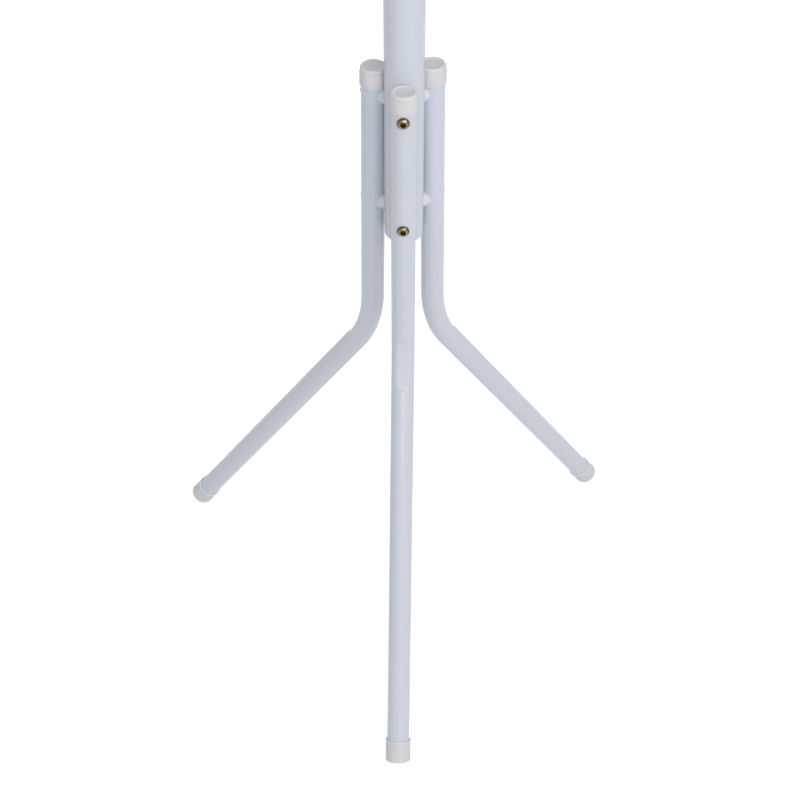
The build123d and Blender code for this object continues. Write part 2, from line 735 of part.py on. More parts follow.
os.makedirs("parts", exist_ok=True)
for side, azimuth in leg_directions.items():
    save(make_leg(side, azimuth), f"leg_{side}")
    save(make_top_cap(azimuth), f"leg_cap_{side}")
    save(make_foot_cap(azimuth), f"foot_cap_{side}")
save(make_spacers(), "leg_spacers")
save(make_bolts(), "leg_bolts")
save(make_rivet_nuts(), "leg_rivet_nuts")
save(make_lower_mast(), "lower_mast")
save(make_end_plug(), "mast_end_plug")
save(make_bush(), "mast_bush")
save(make_stop_pin(), "mast_stop_pin")
save(make_upper_mast(), "upper_mast")
save(make_pivot_plug(), "mast_pivot_plug")
save(make_crown(), "crown")
save(make_crown_cap(), "crown_cap")
save(make_crown_rivet(), "crown_rivet")
save(make_crown_pins(), "crown_pins")
for number, azimuth in enumerate(arm_azimuths, start=1):
    save(make_stay(azimuth), f"stay_{number}")
    save(make_arm(azimuth), f"arm_{number}_tube")
    save(make_arm_root(azimuth), f"arm_{number}_root")
    save(make_arm_tip(azimuth), f"arm_{number}_tip")
    save(make_line_clips(azimuth), f"arm_{number}_line_clips")
    save(make_arm_rivet(azimuth), f"arm_{number}_rivet")
save(make_runner(), "runner")
save(make_runner_pins(), "runner_pins")
save(make_lock_shoe(), "lock_shoe")
save(make_lock_pin(), "lock_pin")
save(make_lock_lever(), "lock_lever")
print("bend corner at", round(bend_height, 2), "crown pivots at", round(crown_height, 2),
      "runner pivots at", round(runner_height, 2))
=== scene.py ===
# %% [markdown]
# # A free-standing rotary clothesline
# The clothesline is a bolted tube tripod, a mast whose upper half turns, and four folding arms.
# Its CAD model is the fixed frame: every piece here lies on it, and nothing is moved or resized.
# This file gives each piece its rounded, moulded or bent shape and its finish, one step per cell.

# %% Load the fixed frame
import json
import math

import bmesh
import bpy
from mathutils import Matrix, Vector

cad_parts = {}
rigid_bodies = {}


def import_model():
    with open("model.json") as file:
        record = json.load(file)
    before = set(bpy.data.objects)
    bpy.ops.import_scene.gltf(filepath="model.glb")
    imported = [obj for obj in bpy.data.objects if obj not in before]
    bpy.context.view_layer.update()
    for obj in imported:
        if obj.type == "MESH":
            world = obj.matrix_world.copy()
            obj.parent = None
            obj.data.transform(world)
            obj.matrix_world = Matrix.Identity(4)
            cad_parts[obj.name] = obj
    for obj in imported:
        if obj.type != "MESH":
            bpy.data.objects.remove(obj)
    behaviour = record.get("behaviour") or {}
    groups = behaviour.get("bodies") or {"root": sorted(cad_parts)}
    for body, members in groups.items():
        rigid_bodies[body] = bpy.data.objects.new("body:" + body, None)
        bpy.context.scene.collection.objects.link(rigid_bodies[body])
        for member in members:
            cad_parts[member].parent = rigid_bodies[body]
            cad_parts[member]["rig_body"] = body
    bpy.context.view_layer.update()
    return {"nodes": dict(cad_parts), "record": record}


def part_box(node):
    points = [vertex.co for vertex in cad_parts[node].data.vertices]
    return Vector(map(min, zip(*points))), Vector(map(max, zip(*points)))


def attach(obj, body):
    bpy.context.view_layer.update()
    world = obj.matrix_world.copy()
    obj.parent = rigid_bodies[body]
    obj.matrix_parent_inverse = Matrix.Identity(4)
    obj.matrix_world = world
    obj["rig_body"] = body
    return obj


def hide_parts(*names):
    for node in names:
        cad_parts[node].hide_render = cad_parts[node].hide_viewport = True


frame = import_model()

record = frame["record"]

# %% [markdown]
# ## The driving sizes
# A maker works from a handful of sizes: tube diameters, the lean of the legs, the pitch of the bolts.
# They are the CAD's own, in metres, and whatever can be read from the frame is read from it: heights
# come from the boxes of the nodes, and the directions of the legs from where their feet stand.

# %% Sizes of the tripod, and where things stand
MM = 0.001
mast_radius = 16.0 * MM
leg_radius = 10.0 * MM
leg_gap = 1.65 * MM
leg_splay = math.radians(0.9)
leg_spread = math.radians(33.5)
leg_bend_radius = 110.0 * MM
lower_leg_length = 369.0 * MM
foot_cap_radius = 11.3 * MM
foot_flat_depth = 2.0 * MM
lower_bolt_rise = 138.0 * MM
bolt_pitch = 101.0 * MM
leg_top_rise = 258.2 * MM
seat_gap = 0.12 * MM

bend_height = (foot_cap_radius * math.sin(leg_spread) - foot_flat_depth
               + lower_leg_length * math.cos(leg_spread))
bolt_heights = [bend_height + lower_bolt_rise, bend_height + lower_bolt_rise + bolt_pitch]
leg_top = bend_height + leg_top_rise
feet = {mount["name"].removeprefix("foot_"): mount["pos_m"] for mount in record["mounts"]}
leg_azimuths = {side: math.atan2(pos[1], pos[0]) for side, pos in feet.items()}


def polar(azimuth, out, height):
    """A point at a direction round the mast, a distance out from it and a height."""
    return Vector((out * math.cos(azimuth), out * math.sin(azimuth), height))


def leg_out(height):
    """How far a leg's centre line is from the mast's, above the bend."""
    middle = sum(bolt_heights) / 2
    return mast_radius + leg_radius + leg_gap + (middle - height) * math.tan(leg_splay)


print("bend at", round(bend_height, 4), "bolts at", [round(h, 4) for h in bolt_heights],
      "legs at", {side: round(math.degrees(a), 1) for side, a in leg_azimuths.items()})

# %% [markdown]
# ## Writing materials as sums
# A finish is a small network of nodes. Wiring them by hand is hard to read, so one class wraps the
# output of a node, and its operators add the Math nodes: `0.4 + 0.1 * grain` is an expression here.
# Colours are not numbers to a Math node, so they are mixed by a Mix node, through `blend`.

# %% Values that vary over a surface
class Varying:
    """The output of a node, usable in sums."""

    def __init__(self, finish, socket):
        self.finish, self.socket = finish, socket

    def sum(self, operation, first, second):
        return self.finish.node("Math", {"operation": operation}, {0: first, 1: second})

    def __add__(self, other):
        return self.sum("ADD", self, other)

    def __radd__(self, other):
        return self.sum("ADD", other, self)

    def __sub__(self, other):
        return self.sum("SUBTRACT", self, other)

    def __rsub__(self, other):
        return self.sum("SUBTRACT", other, self)

    def __mul__(self, other):
        return self.sum("MULTIPLY", self, other)

    def __rmul__(self, other):
        return self.sum("MULTIPLY", other, self)


def tone(red, green, blue):
    """A colour given as it looks on screen, from 0 to 1, in the linear values that shaders use."""
    shown = (red, green, blue)
    linear = [c / 12.92 if c <= 0.04045 else ((c + 0.055) / 1.055) ** 2.4 for c in shown]
    return (*linear, 1.0)


class Finish:
    """A material in the making: nodes are added one by one, and `done` feeds the surface."""

    def __init__(self, name):
        self.material = bpy.data.materials.new(name)
        self.material.use_nodes = True
        self.tree = self.material.node_tree
        self.tree.nodes.clear()
        self.place = self.node("TexCoord", out="Object")

    def node(self, kind, settings=None, sockets=None, out=0):
        """Adds a node: its settings first, then a value or a link for each named socket."""
        made = self.tree.nodes.new("ShaderNode" + kind)
        for name, value in (settings or {}).items():
            if name == "stops":
                self.set_stops(made.color_ramp, value)
            else:
                setattr(made, name, value)
        for name, value in (sockets or {}).items():
            self.feed(made.inputs[name], value)
        return Varying(self, made.outputs[out])

    def set_stops(self, ramp, stops):
        """Stops of a colour ramp, as (place, brightness) pairs."""
        while len(ramp.elements) < len(stops):
            ramp.elements.new(1.0)
        for element, (place, level) in zip(ramp.elements, stops):
            element.position = place
            element.color = (level, level, level, 1.0)

    def feed(self, socket, value):
        if isinstance(value, Varying):
            self.tree.links.new(value.socket, socket)
        else:
            socket.default_value = value

    def stretched(self, scale, turn=(0, 0, 0)):
        """The object's coordinates, scaled and turned."""
        return self.node("Mapping", sockets={"Vector": self.place, "Scale": scale, "Rotation": turn})

    def noise(self, per_metre, detail, rough=0.5, vector=None):
        """Soft cloudy grain, that many waves to the metre."""
        return self.node("TexNoise", {"noise_dimensions": "3D"},
                         {"Vector": vector or self.place, "Scale": per_metre, "Detail": detail,
                          "Roughness": rough})

    def reach(self):
        """How far out a point lies on a round piece: the number that its mesh carries."""
        return self.node("Attribute", {"attribute_name": "reach"}, out="Fac")

    def ramp(self, value, *stops):
        return self.node("ValToRGB", {"stops": stops}, {"Fac": value})

    def blend(self, mask, colour_a, colour_b):
        """One colour where the mask is 0 and the other where it is 1."""
        return self.node("Mix", {"data_type": "RGBA"}, {0: mask, 6: colour_a, 7: colour_b}, out=2)

    def bump(self, height, depth, on=None):
        """Relief that many metres deep, over another relief if there is one."""
        sockets = {"Height": height, "Distance": depth, "Strength": 1.0}
        if on:
            sockets["Normal"] = on
        return self.node("Bump", sockets=sockets)

    def done(self, colour, roughness, normal, **constants):
        """The surface itself: what varies is linked, and constants are set on the shader."""
        surface = self.node("BsdfPrincipled", sockets={
            "Base Color": colour, "Roughness": roughness, "Normal": normal, **constants}, out="BSDF")
        output = self.tree.nodes.new("ShaderNodeOutputMaterial")
        self.tree.links.new(surface.socket, output.inputs["Surface"])
        return self.material


print("finishes are written as sums of", Varying.__name__, "values")

# %% [markdown]
# ## Powder coat
# The tubes are steel, sprayed with a dry powder that melts in an oven to a tough satin film. It is a
# very pale blue white. Close to, the film has a soft dimple every millimetre or so, called orange
# peel, and its gloss wanders slightly. A plain colour with low roughness would look like wet paint,
# so the dimples go into a bump and the wander into the roughness.

# %% The coat of the tubes
def powder_coat(name, colour, shade):
    """Satin film with orange peel and fine dust in it, lightly rubbed here and there."""
    peel_depth, dust_depth = 0.025 * MM, 0.006 * MM
    coat = Finish(name)
    peel = coat.noise(900.0, detail=2.0)
    dust = coat.noise(4200.0, detail=2.0, rough=0.6)
    cloud = coat.noise(9.0, detail=4.0)
    rubbed = coat.ramp(coat.noise(38.0, detail=5.0, rough=0.62), (0.46, 0.0), (0.78, 1.0))
    body = coat.blend(0.7 * cloud, colour, shade)
    body = coat.blend(0.06 * rubbed, body, tone(0.70, 0.71, 0.73))
    roughness = 0.24 + 0.08 * cloud + 0.08 * rubbed + 0.04 * dust
    relief = coat.bump(peel, peel_depth, on=coat.bump(dust, dust_depth))
    return coat.done(body, roughness, relief, **{
        "IOR": 1.45, "Specular IOR Level": 0.4,
        "Coat Weight": 0.3, "Coat Roughness": 0.18, "Coat IOR": 1.4})


white_coat = powder_coat("powder_coat", tone(0.832, 0.852, 0.889), tone(0.812, 0.837, 0.879))
print("made", white_coat.name)

# %% [markdown]
# ## Soft translucent plastic
# The caps on the legs are soft polyethylene. Light goes a little way in and comes out again, which
# makes them look milky and warmer than the coat. The mould leaves a faint flow pattern, and handling
# scuffs them. Subsurface scattering gives the milkiness, a noise stretched upwards gives the flow, and
# the peaks of a finer noise are the scuffs. A cap gets a painted shade where it closes the tube, a
# greyer tone for the dark bore behind it, and the thin lip of a foot cap gets a painted highlight, a
# paler tone for the light that its rounded edge catches. So each cap carries a number, `reach`, that
# grows from 0 at its axis to 1 at its rim and is 2 on a lip, and ramps of it lay these painted tones.
# Spacers and line clips are the same milky kind, without them.

# %% The plastic of caps, spacers and clips
def soft_plastic(name, colour, shade, milk, painted_bore_shade=None, lip=None):
    """Milky plastic, with a painted shade over a tube's dark bore and a painted highlight on a mouth's
    lip.
    """
    grain_depth, flow_depth, light_depth = 0.02 * MM, 0.2 * MM, 2.0 * MM
    plastic = Finish(name)
    flow = plastic.noise(60.0, detail=4.0, vector=plastic.stretched((1.0, 1.0, 0.35)))
    scuff = plastic.ramp(plastic.noise(420.0, detail=6.0, rough=0.7), (0.52, 0.0), (0.74, 1.0))
    grain = plastic.noise(2600.0, detail=2.0)
    body = plastic.blend(flow, colour, shade)
    # Painted shade: where a cap closes the tube it is greyed, for the dark bore that shows through it.
    if painted_bore_shade:
        inside = plastic.ramp(plastic.reach(), (0.5, 1.0), (0.78, 0.0))
        body = plastic.blend(inside, body, painted_bore_shade)
    # Painted highlight: the thin lip of a foot cap is paler, for the light its rounded edge catches.
    if lip:
        lip_highlight_mask = plastic.ramp(0.5 * plastic.reach(), (0.6, 0.0), (0.75, 1.0))
        body = plastic.blend(lip_highlight_mask, body, lip)
    body = plastic.blend(0.10 * scuff, body, tone(0.80, 0.79, 0.76))
    roughness = 0.42 + 0.10 * flow + 0.12 * scuff
    relief = plastic.bump(grain, grain_depth, on=plastic.bump(flow, flow_depth))
    return plastic.done(body, roughness, relief, **{
        "IOR": 1.5, "Subsurface Weight": milk, "Subsurface Radius": (0.9, 0.85, 0.75),
        "Subsurface Scale": light_depth, "Specular IOR Level": 0.45})


# The greyer tone of the top caps is a painted shade over the bore.
cap_plastic = soft_plastic("cap_polyethylene", tone(0.885, 0.88, 0.88), tone(0.86, 0.855, 0.86),
                           milk=0.3, painted_bore_shade=tone(0.85, 0.85, 0.865))
# The lip tone of the foot caps is a painted highlight.
foot_plastic = soft_plastic("foot_polyethylene", tone(0.875, 0.87, 0.87), tone(0.85, 0.845, 0.85),
                            milk=0.3, lip=tone(0.925, 0.925, 0.93))
spacer_nylon = soft_plastic("spacer_nylon", tone(0.875, 0.88, 0.895), tone(0.85, 0.855, 0.875),
                            milk=0.2)
clip_plastic = soft_plastic("clip_nylon", tone(0.91, 0.92, 0.93), tone(0.88, 0.89, 0.91), milk=0.15)
print("made", cap_plastic.name, foot_plastic.name, spacer_nylon.name, clip_plastic.name)

# %% [markdown]
# ## Moulded nylon
# Crown, runner and the ends of the arms are stiff nylon. Their moulds are spark-eroded, which leaves
# an even fine grain that breaks up the gloss. A Voronoi pattern stands for the grain: cells half a
# millimetre wide and three hundredths deep. The lever is the same nylon dyed grey, and the lock's
# rubber shoe has the same grain and no shine.

# %% The plastic of the moulded hubs
def moulded_nylon(name, colour, shade, smoothest=0.48):
    """Grained plastic with soft clouds and faint rubbed streaks."""
    grain_depth = 0.03 * MM
    nylon = Finish(name)
    cells = nylon.node("TexVoronoi", {"feature": "SMOOTH_F1"},
                       {"Vector": nylon.place, "Scale": 2100.0, "Smoothness": 0.6}, out="Distance")
    cloud = nylon.noise(22.0, detail=4.0)
    upwards = nylon.stretched((1.0, 1.0, 0.25))
    streak = nylon.ramp(nylon.noise(130.0, detail=5.0, rough=0.65, vector=upwards),
                        (0.50, 0.0), (0.80, 1.0))
    body = nylon.blend(cloud, colour, shade)
    body = nylon.blend(0.08 * streak, body, tone(0.62, 0.62, 0.61))
    roughness = smoothest + 0.08 * cloud + 0.10 * streak
    relief = nylon.bump(cells, grain_depth)
    return nylon.done(body, roughness, relief, **{"IOR": 1.53, "Specular IOR Level": 0.5})


hub_nylon = moulded_nylon("hub_nylon", tone(0.90, 0.91, 0.925), tone(0.87, 0.88, 0.90))
lever_nylon = moulded_nylon("lever_nylon", tone(0.62, 0.66, 0.71), tone(0.56, 0.60, 0.66),
                            smoothest=0.42)
shoe_rubber = moulded_nylon("shoe_rubber", tone(0.20, 0.205, 0.21), tone(0.16, 0.165, 0.17),
                            smoothest=0.62)
print("made", hub_nylon.name, lever_nylon.name, shoe_rubber.name)

# %% [markdown]
# ## Plated steel
# The leg bolts are zinc plated and then passivated yellow: a dull bronze film that pools darker and
# drifts towards straw. The socket and the rim under the head get a painted shade with grime, laid by a
# ramp of `reach`. The rivets are bright zinc, with a fine spangle and small scratches.

# %% The plating of bolts and rivets
def plated(name, light, dark, film, smoothest, shade_and_grime=None):
    """Plating with pools and scratches. Painted shade with grime darkens the socket and the head's rim.
    """
    scratch_depth, pool_depth = 0.01 * MM, 0.02 * MM
    metal = Finish(name)
    pools = metal.ramp(metal.noise(520.0, detail=4.0, rough=0.6), (0.35, 0.0), (0.68, 1.0))
    drift = metal.noise(190.0, detail=2.0)
    slanting = metal.stretched((1.0, 0.12, 1.0), (0.4, 0.3, 0.8))
    scratch = metal.ramp(metal.noise(1500.0, detail=4.0, vector=slanting), (0.56, 0.0), (0.64, 1.0))
    body = metal.blend(pools, light, dark)
    body = metal.blend(0.5 * drift, body, film)
    # Painted shade, with grime: the socket and the rim under the head are darkened.
    if shade_and_grime:
        shade_and_grime_mask = metal.ramp(metal.reach(), (0.42, 1.0), (0.52, 0.0), (0.72, 0.0), (0.94, 0.85))
        body = metal.blend(shade_and_grime_mask, body, shade_and_grime)
    roughness = smoothest + 0.14 * pools + 0.10 * scratch
    relief = metal.bump(scratch, scratch_depth, on=metal.bump(pools, pool_depth))
    return metal.done(body, roughness, relief, **{"Metallic": 1.0})


# The bolts' dark tone is a painted shade with grime, for the socket and the rim.
yellow_zinc = plated("yellow_zinc", tone(0.59, 0.54, 0.43), tone(0.42, 0.37, 0.27),
                     film=tone(0.54, 0.48, 0.34), smoothest=0.15, shade_and_grime=tone(0.20, 0.15, 0.09))
bright_zinc = plated("bright_zinc", tone(0.80, 0.81, 0.82), tone(0.66, 0.67, 0.69),
                     film=tone(0.74, 0.75, 0.78), smoothest=0.28)
print("made", yellow_zinc.name, bright_zinc.name)

# %% [markdown]
# ## Two ways to a mesh
# Caps, plugs and bolt heads are round, so a lathe makes them: an outline is turned about an axis.
# Mouldings such as the crown have a true shape in the CAD but razor-sharp edges. A copy of the node
# is merged into whole faces and its edges are rounded by a bevel, as every mould rounds them.

# %% Helpers that make and place pieces
weld_gap = 0.001 * MM    # points nearer than this are one point


def piece(name, mesh, material, body, stands_for):
    """A finished mesh becomes a piece: it rides on its body and stands for its CAD nodes."""
    made = bpy.data.objects.new(name, mesh)
    bpy.context.scene.collection.objects.link(made)
    mesh.materials.clear()
    mesh.materials.append(material)
    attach(made, body)
    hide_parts(*stands_for)
    return made


def smooth(mesh, sharp_over=35.0):
    """Smooth shading, except over edges that turn more than this many degrees."""
    for polygon in mesh.polygons:
        polygon.use_smooth = True
    mesh.set_sharp_from_angle(angle=math.radians(sharp_over))
    return mesh


def upright(origin, axis):
    """A matrix that stands local Z along an axis at an origin."""
    return Matrix.Translation(origin) @ Vector(axis).to_track_quat("Z", "Y").to_matrix().to_4x4()


def add_turned(work, outline, place, steps):
    """Turns (radius, height) points about the local Z of a place. A point on the axis closes it."""
    turns = [2 * math.pi * step / steps for step in range(steps)]
    rings = []
    for radius, height in outline:
        if radius == 0.0:
            rings.append([work.verts.new(place @ Vector((0, 0, height)))])
            continue
        spots = [Vector((radius * math.cos(t), radius * math.sin(t), height)) for t in turns]
        rings.append([work.verts.new(place @ spot) for spot in spots])
    for low, high in zip(rings, rings[1:]):
        for step in range(steps):
            ring = [low[step % len(low)], low[(step + 1) % len(low)],
                    high[(step + 1) % len(high)], high[step % len(high)]]
            work.faces.new(list(dict.fromkeys(ring)))


def turned(name, outline, place, steps):
    """A mesh of an outline that is turned at its place."""
    work = bmesh.new()
    add_turned(work, outline, place, steps)
    bmesh.ops.recalc_face_normals(work, faces=work.faces)
    mesh = bpy.data.meshes.new(name)
    work.to_mesh(mesh)
    work.free()
    return smooth(mesh)


def corner(centre, radius, start, end):
    """Points of a rounded corner of an outline, from one angle to another in degrees."""
    steps = 6
    angles = [math.radians(start + (end - start) * i / steps) for i in range(steps + 1)]
    return [(centre[0] + radius * math.cos(a), centre[1] + radius * math.sin(a)) for a in angles]


def note_reach(mesh, place, rim, lip=None):
    """Stores each point's distance from a turned piece's axis: 0 on it, 1 at the rim, 2 below `lip`."""
    spots = [place.inverted() @ vertex.co for vertex in mesh.vertices]
    values = [2.0 if lip and spot.z < lip else spot.xy.length / rim for spot in spots]
    mesh.attributes.new("reach", "FLOAT", "POINT").data.foreach_set("value", values)


def plain_mesh(worker, name):
    """What a worker object looks like with its modifiers, as a plain mesh; the worker is removed."""
    bpy.context.view_layer.update()
    seen = worker.evaluated_get(bpy.context.evaluated_depsgraph_get())
    mesh = bpy.data.meshes.new_from_object(seen)
    mesh.name = name
    bpy.data.objects.remove(worker)
    return mesh


def rounded(mesh, name, edge, segments=3):
    """A merged mesh with its edges rounded. Slight turns are curved faces, not edges, and stay."""
    edge_over, sharp_over = 30.0, 40.0
    worker = bpy.data.objects.new("worker", mesh)
    bpy.context.scene.collection.objects.link(worker)
    bevel = worker.modifiers.new("edges", "BEVEL")
    bevel.width = edge
    bevel.segments = segments
    bevel.limit_method = "ANGLE"
    bevel.angle_limit = math.radians(edge_over)
    return smooth(plain_mesh(worker, name), sharp_over)


def merged(node, keep=None, shift=None):
    """A CAD node's loose triangles merged into faces: all of it, or only the corners to keep."""
    flat_within = math.radians(0.8)
    work = bmesh.new()
    work.from_mesh(frame["nodes"][node].data)
    bmesh.ops.remove_doubles(work, verts=work.verts, dist=weld_gap)
    if keep:
        bmesh.ops.delete(work, geom=[v for v in work.verts if not keep(v.co)], context="VERTS")
    bmesh.ops.dissolve_limit(work, angle_limit=flat_within, verts=work.verts, edges=work.edges)
    if shift:
        bmesh.ops.translate(work, verts=work.verts, vec=shift)
    mesh = bpy.data.meshes.new(node + "_merged")
    work.to_mesh(mesh)
    work.free()
    return mesh


print("helpers ready")

# %% [markdown]
# ## Bent legs
# Each leg is one tube: straight beside the mast, bent once, straight again to the floor. A path of
# three points says all that, so Geometry Nodes make the tube from it: the corner is filleted to the
# bend's radius and a circle is swept along. The bending press pinches the hollow side of the bend: it
# leaves a shallow flat there that runs in softly and stops short at a step, while the other side stays
# round. So points that stand out too far on that side, along the bend, are pushed back onto a flat.

# %% A node tree that bends a tube
def add_node(tree, kind, settings=None, sockets=None):
    """Adds a node to any tree: its settings first, then a value or a link for each socket."""
    made = tree.nodes.new(kind)
    for name, value in (settings or {}).items():
        setattr(made, name, value)
    for name, value in (sockets or {}).items():
        if isinstance(value, bpy.types.NodeSocket):
            tree.links.new(value, made.inputs[name])
        else:
            made.inputs[name].default_value = value
    return made


def new_tree(name, inputs):
    """An empty tree with a geometry input, the named inputs and a geometry output."""
    tree = bpy.data.node_groups.new(name, "GeometryNodeTree")
    tree.interface.new_socket("Geometry", in_out="INPUT", socket_type="NodeSocketGeometry")
    for label, kind, value in inputs:
        socket = tree.interface.new_socket(label, in_out="INPUT", socket_type="NodeSocket" + kind)
        if value is not None:
            socket.default_value = value
    tree.interface.new_socket("Geometry", in_out="OUTPUT", socket_type="NodeSocketGeometry")
    return tree, tree.nodes.new("NodeGroupInput").outputs


def close_tree(tree, geometry, material):
    """Realize, give the material and send to the output."""
    whole = add_node(tree, "GeometryNodeRealizeInstances", sockets={"Geometry": geometry})
    painted = add_node(tree, "GeometryNodeSetMaterial",
                       sockets={"Geometry": whole.outputs["Geometry"], "Material": material})
    add_node(tree, "NodeGroupOutput", sockets={"Geometry": painted.outputs["Geometry"]})


def run_tree(tree, mesh, values, name):
    """Runs a tree on a mesh with values for its named inputs, and gives the plain mesh."""
    worker = bpy.data.objects.new("worker", mesh)
    bpy.context.scene.collection.objects.link(worker)
    modifier = worker.modifiers.new("make", "NODES")
    modifier.node_group = tree
    for item in tree.interface.items_tree:
        if item.in_out == "INPUT" and item.name in values:
            modifier[item.identifier] = values[item.name]
    return plain_mesh(worker, name)


def math_node(tree, operation, *values):
    """The result of one sum, on numbers or on other nodes' results."""
    made = add_node(tree, "ShaderNodeMath", {"operation": operation}, dict(enumerate(values)))
    return made.outputs["Value"]


def press_mark(tree, tube, given):
    """Pushes the hollow side of the bend back onto a flat: a soft run-in, then a sharp step out."""
    along = add_node(tree, "GeometryNodeInputNamedAttribute", {"data_type": "FLOAT"},
                     {"Name": "from_middle"}).outputs["Attribute"]
    soft = math_node(tree, "SUBTRACT", 0.0, given["Mark Start"])
    run_in = add_node(tree, "ShaderNodeMapRange", {"interpolation_type": "SMOOTHSTEP"}, {
        "Value": along, "From Min": soft, "From Max": math_node(tree, "ADD", soft, given["Run-in"]),
        "To Min": 0.0, "To Max": given["Mark Depth"]}).outputs["Result"]
    sharp = math_node(tree, "SUBTRACT", given["Mark End"], given["Step Out"])
    step_out = add_node(tree, "ShaderNodeMapRange", {"interpolation_type": "SMOOTHSTEP"}, {
        "Value": along, "From Min": sharp, "From Max": given["Mark End"],
        "To Min": given["Mark Depth"], "To Max": 0.0}).outputs["Result"]
    depth = math_node(tree, "MINIMUM", run_in, step_out)
    outward = add_node(tree, "GeometryNodeInputNormal").outputs["Normal"]
    towards = add_node(tree, "ShaderNodeVectorMath", {"operation": "DOT_PRODUCT"},
                       {0: outward, 1: given["Hollow Side"]}).outputs["Value"]
    stands_out = math_node(tree, "MULTIPLY", towards, given["Tube Radius"])
    allowed = math_node(tree, "SUBTRACT", given["Tube Radius"], depth)
    push = math_node(tree, "SMOOTH_MAX", math_node(tree, "SUBTRACT", stands_out, allowed), 0.0,
                     given["Softness"])
    on_bend = math_node(tree, "GREATER_THAN", depth, 0.0)
    offset = add_node(tree, "ShaderNodeVectorMath", {"operation": "SCALE"}, {
        "Vector": given["Hollow Side"], "Scale": math_node(tree, "MULTIPLY", push,
                                                           math_node(tree, "MULTIPLY", on_bend, -1.0))})
    return add_node(tree, "GeometryNodeSetPosition",
                    sockets={"Geometry": tube, "Offset": offset.outputs["Vector"]}).outputs["Geometry"]


def tube_tree():
    """Rounds the corner of a path, sweeps a circle along it and presses the mark into the bend."""
    tree, given = new_tree("bent_tube", [
        ("Tube Radius", "Float", leg_radius), ("Bend Radius", "Float", leg_bend_radius),
        ("Sides", "Int", 96), ("Bend Steps", "Int", 72), ("Finish", "Material", white_coat),
        ("Bend Middle", "Float", 0.3), ("Mark Start", "Float", 25 * MM), ("Run-in", "Float", 9 * MM),
        ("Mark End", "Float", 31 * MM), ("Step Out", "Float", 3 * MM),
        ("Mark Depth", "Float", 1.5 * MM), ("Softness", "Float", 1.2 * MM),
        ("Hollow Side", "Vector", None)])
    path = add_node(tree, "GeometryNodeMeshToCurve", sockets={"Mesh": given["Geometry"]})
    bent = add_node(tree, "GeometryNodeFilletCurve", {"mode": "POLY"},
                    {"Curve": path.outputs["Curve"], "Count": given["Bend Steps"],
                     "Radius": given["Bend Radius"]})
    length = add_node(tree, "GeometryNodeSplineParameter").outputs["Length"]
    from_middle = math_node(tree, "SUBTRACT", length, given["Bend Middle"])
    noted = add_node(tree, "GeometryNodeStoreNamedAttribute",
                     {"data_type": "FLOAT", "domain": "POINT"},
                     {"Geometry": bent.outputs["Curve"], "Name": "from_middle", "Value": from_middle})
    circle = add_node(tree, "GeometryNodeCurvePrimitiveCircle",
                      sockets={"Resolution": given["Sides"], "Radius": given["Tube Radius"]})
    tube = add_node(tree, "GeometryNodeCurveToMesh", sockets={
        "Curve": noted.outputs["Geometry"], "Profile Curve": circle.outputs["Curve"],
        "Fill Caps": True})
    close_tree(tree, press_mark(tree, tube.outputs["Mesh"], given), given["Finish"])
    return tree


bent_tube = tube_tree()
print("tree", bent_tube.name, "with inputs", [item.name for item in bent_tube.interface.items_tree])

# %% Make the three legs
foot_cap_end = 3.5 * MM  # plastic between the tube's end and the floor end of its cap


def leg_path(azimuth):
    """Centre line of a leg: top, corner of the bend, end inside the foot cap."""
    tube_length = lower_leg_length - foot_cap_end
    top = polar(azimuth, leg_out(leg_top), leg_top)
    bend = polar(azimuth, leg_out(bend_height), bend_height)
    end = polar(azimuth, leg_out(bend_height) + tube_length * math.sin(leg_spread),
                bend_height - tube_length * math.cos(leg_spread))
    return [top, bend, end]


for side, azimuth in leg_azimuths.items():
    top, bend, end = leg_path(azimuth)
    line = bpy.data.meshes.new("leg_line")
    line.from_pydata([top, bend, end], [(0, 1), (1, 2)], [])
    turn = (bend - top).angle(end - bend)
    middle = (bend - top).length + leg_bend_radius * (turn / 2 - math.tan(turn / 2))
    hollow = ((top - bend).normalized() + (end - bend).normalized()).normalized()
    tube = smooth(run_tree(bent_tube, line, {"Bend Middle": middle, "Hollow Side": hollow},
                           f"leg_{side}_tube"))
    leg = piece(f"leg_{side}_tube", tube, white_coat, "base", [f"leg_{side}"])
    print(leg.name, "has", len(tube.polygons), "faces, turns", round(math.degrees(turn), 1), "degrees")

# %% [markdown]
# ## The two mast tubes
# Both are plain straight tubes, and what tells a real one from a cylinder is its ends: the saw cut is
# deburred, which leaves a small round on the rim, and the wall shows. An outline with those rounds,
# turned about the mast, gives both.

# %% Make the mast tubes
mast_wall = 1.5 * MM
upper_mast_radius = 12.5 * MM
upper_mast_wall = 1.2 * MM


def tube_outline(radius, wall, low, high):
    """Closed outline of a straight tube with rounded rims."""
    burr = 0.35 * MM
    inner = radius - wall
    points = corner((radius - burr, low + burr), burr, -90, 0)
    points += corner((radius - burr, high - burr), burr, 0, 90)
    points += corner((inner + burr, high - burr), burr, 90, 180)
    points += corner((inner + burr, low + burr), burr, 180, 270)
    return points + points[:1]


def standing_tube(node, radius, wall, body):
    """A mast tube as high as its node, with the seam of its outline closed."""
    low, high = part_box(node)
    mesh = turned(node + "_tube", tube_outline(radius, wall, low[2], high[2]), Matrix(), steps=96)
    work = bmesh.new()
    work.from_mesh(mesh)
    bmesh.ops.remove_doubles(work, verts=work.verts, dist=weld_gap)
    work.to_mesh(mesh)
    work.free()
    return piece(node + "_tube", smooth(mesh), white_coat, body, [node])


lower_mast = standing_tube("lower_mast", mast_radius, mast_wall, "base")
upper_mast = standing_tube("upper_mast", upper_mast_radius, upper_mast_wall, "upper_mast")
print(lower_mast.name, upper_mast.name)

